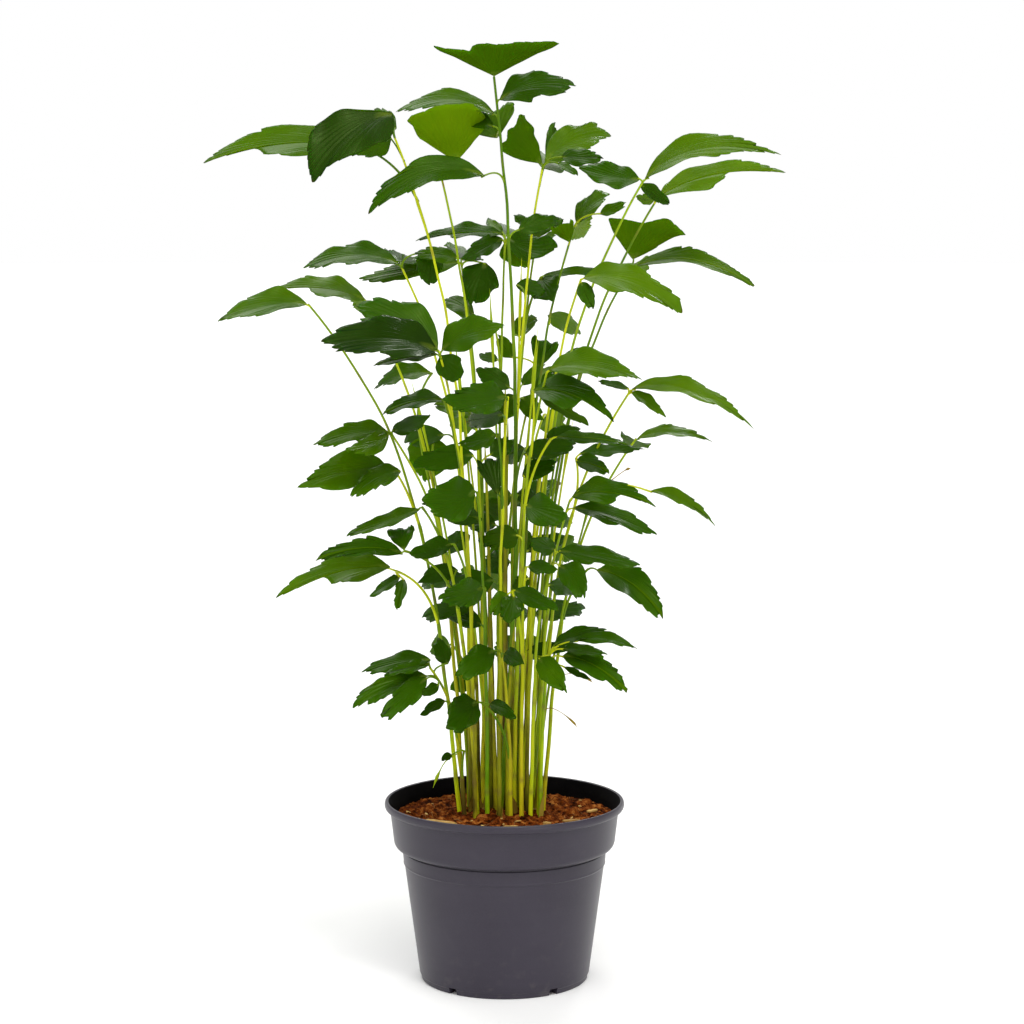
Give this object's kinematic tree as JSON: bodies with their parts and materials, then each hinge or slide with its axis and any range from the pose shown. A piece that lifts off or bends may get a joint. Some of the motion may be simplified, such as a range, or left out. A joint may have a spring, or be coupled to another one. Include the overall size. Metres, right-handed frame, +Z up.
{
  "type": "potted fishtail palm",
  "caption": "Clump-forming fishtail palm with thin upright stems and ragged wedge-shaped leaflets, in a round tapered nursery pot with a rolled lip and a deep collar.",
  "frame": {"origin": "centre of the pot's flat base, on the surface that it stands on", "axes": "+Z up along the pot's axis, -Y towards the plant's best side, +X to the right as seen from there"},
  "size_m": [0.5845, 0.431, 0.9361],
  "materials": {
    "pot_plastic": "satin",
    "coir": "matte",
    "bark": "matte",
    "leaf": "satin"
  },
  "bodies": {
    "root": {"pot": "pot_plastic", "soil": "coir", "chip_1": "bark", "chip_2": "bark", "chip_3": "bark", "chip_4": "bark", "chip_5": "bark", "chip_6": "bark", "stem_centre": "leaf", "stem_top_left": "leaf", "stem_top_left_back": "leaf", "stem_top_right_back": "leaf", "stem_top_right": "leaf", "stem_far_right": "leaf", "stem_right_back": "leaf", "stem_right_front": "leaf", "stem_back_right": "leaf", "stem_back": "leaf", "stem_back_tall": "leaf", "stem_back_low": "leaf", "stem_left_far_back": "leaf", "stem_left_back": "leaf", "stem_left": "leaf", "stem_big_leaf": "leaf", "stem_far_left": "leaf", "stem_left_front": "leaf", "stem_front_right_high": "leaf", "stem_right": "leaf", "stem_front": "leaf", "stem_front_left": "leaf", "stem_front_right": "leaf", "stem_right_low": "leaf", "stem_right_slim": "leaf", "stem_front_right_low": "leaf", "stem_low_left": "leaf", "stem_low_front": "leaf", "stem_low_right": "leaf"}
  },
  "joints": []
}
